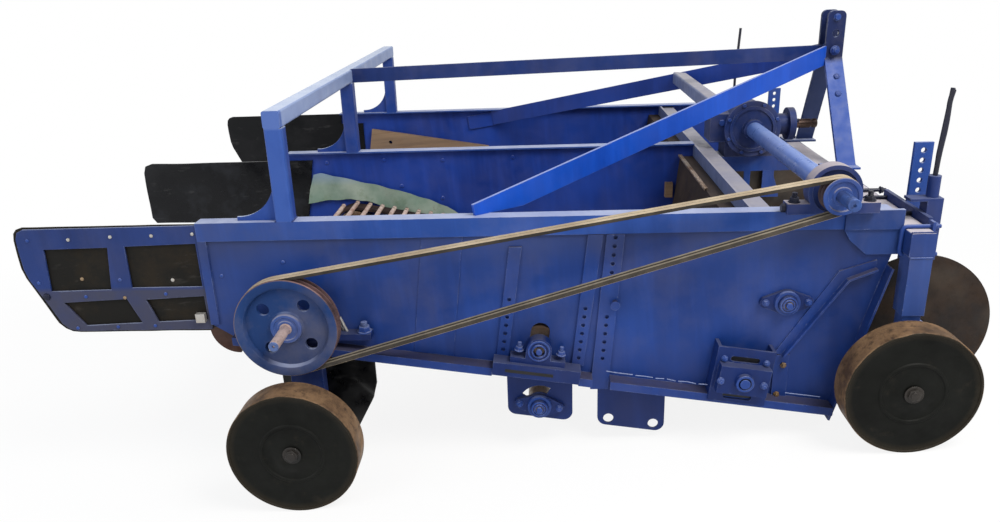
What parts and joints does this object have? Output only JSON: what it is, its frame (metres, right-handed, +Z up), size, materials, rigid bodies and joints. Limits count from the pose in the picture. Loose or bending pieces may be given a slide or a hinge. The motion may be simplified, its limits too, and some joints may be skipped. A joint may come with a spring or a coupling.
{
  "type": "onion harvester",
  "caption": "Tractor mounted two lane onion harvester: shares, coulter discs and belt driven rod webs between long walls on four wheels, with rear wings that lay the crop in rows.",
  "frame": {"origin": "on the ground, in the middle of the machine's length and width", "axes": "+X towards the tractor, +Y to the machine's left side, +Z up"},
  "size_m": [2.966, 2.432, 1.1611],
  "materials": {
    "blue_paint": "worn gloss",
    "bare_steel": "soiled",
    "cast_grey": "rough",
    "galvanised": "dull",
    "black_rubber": "matte",
    "green_sheet": "matte",
    "board": "rough"
  },
  "bodies": {
    "frame": {"adjuster_bars": "galvanised", "bearing_units": "cast_grey", "centre_brace": "blue_paint", "centre_wall": "blue_paint", "coulter_shanks": "bare_steel", "cranks": "bare_steel", "cross_plate": "blue_paint", "cross_tube": "blue_paint", "drive_housing": "cast_grey", "drive_tube": "blue_paint", "front_brackets": "blue_paint", "gearbox": "blue_paint", "gearbox_support": "blue_paint", "hanger_plates": "blue_paint", "hitch_mast": "blue_paint", "lane_curtains": "black_rubber", "lane_sheet": "green_sheet", "lower_hitch": "bare_steel", "rear_pans": "bare_steel", "rear_portal": "blue_paint", "rod_web_left": "bare_steel", "rod_web_right": "bare_steel", "share_blades": "bare_steel", "side_brace_left": "blue_paint", "side_brace_right": "blue_paint", "side_skirts": "black_rubber", "side_wall_left": "blue_paint", "side_wall_right": "blue_paint", "toolbar": "blue_paint", "toolbar_clamps": "blue_paint", "top_rails": "blue_paint", "v_belts": "black_rubber", "wall_panels": "blue_paint", "web_rollers": "bare_steel", "wheel_leg_front_left": "blue_paint", "wheel_leg_front_right": "blue_paint", "wheel_leg_rear_left": "blue_paint", "wheel_leg_rear_right": "blue_paint", "wing_frames": "blue_paint", "wing_rubbers": "black_rubber", "wood_block": "board", "wood_board": "board"},
    "wheel_front_right": {"wheel_front_right": "bare_steel"},
    "wheel_front_left": {"wheel_front_left": "bare_steel"},
    "wheel_rear_right": {"wheel_rear_right": "bare_steel"},
    "wheel_rear_left": {"wheel_rear_left": "bare_steel"},
    "coulter_disc_right": {"coulter_disc_right": "bare_steel"},
    "coulter_disc_left": {"coulter_disc_left": "bare_steel"},
    "pto_shaft": {"pto_shaft": "bare_steel"},
    "drive_pulley": {"drive_pulley": "cast_grey"},
    "rear_drive_shaft": {"rear_drive_shaft": "cast_grey"}
  },
  "joints": [
    {"name": "wheel_front_right_spin", "type": "hinge", "parent": "frame", "child": "wheel_front_right", "pos_m": [1.13593, -1.064, 0.19], "axis": [0, 1, 0], "continuous": true},
    {"name": "wheel_front_left_spin", "type": "hinge", "parent": "frame", "child": "wheel_front_left", "pos_m": [1.13593, 1.064, 0.19], "axis": [0, 1, 0], "continuous": true},
    {"name": "wheel_rear_right_spin", "type": "hinge", "parent": "frame", "child": "wheel_rear_right", "pos_m": [-0.62324, -1.161, 0.19003], "axis": [0, 1, 0], "continuous": true},
    {"name": "wheel_rear_left_spin", "type": "hinge", "parent": "frame", "child": "wheel_rear_left", "pos_m": [-0.62324, 1.161, 0.19003], "axis": [0, 1, 0], "continuous": true},
    {"name": "coulter_disc_right_spin", "type": "hinge", "parent": "frame", "child": "coulter_disc_right", "pos_m": [1.25303, -0.772, 0.26011], "axis": [0, 1, 0], "continuous": true},
    {"name": "coulter_disc_left_spin", "type": "hinge", "parent": "frame", "child": "coulter_disc_left", "pos_m": [1.25303, 0.772, 0.26011], "axis": [0, 1, 0], "continuous": true},
    {"name": "pto_shaft_spin", "type": "hinge", "parent": "frame", "child": "pto_shaft", "pos_m": [1.1146, 0, 0.7528], "axis": [0.9976, 0, -0.0688], "continuous": true},
    {"name": "drive_pulley_spin", "type": "hinge", "parent": "frame", "child": "drive_pulley", "pos_m": [0.943, -1.018, 0.76463], "axis": [0, 1, 0], "continuous": true},
    {"name": "rear_drive_shaft_spin", "type": "hinge", "parent": "frame", "child": "rear_drive_shaft", "pos_m": [-0.62723, -1.018, 0.51006], "axis": [0, 1, 0], "continuous": true}
  ],
  "couplings": [
    {"joint": "drive_pulley_spin", "follows": "pto_shaft_spin", "ratio": -1},
    {"joint": "rear_drive_shaft_spin", "follows": "pto_shaft_spin", "ratio": -0.33987}
  ]
}
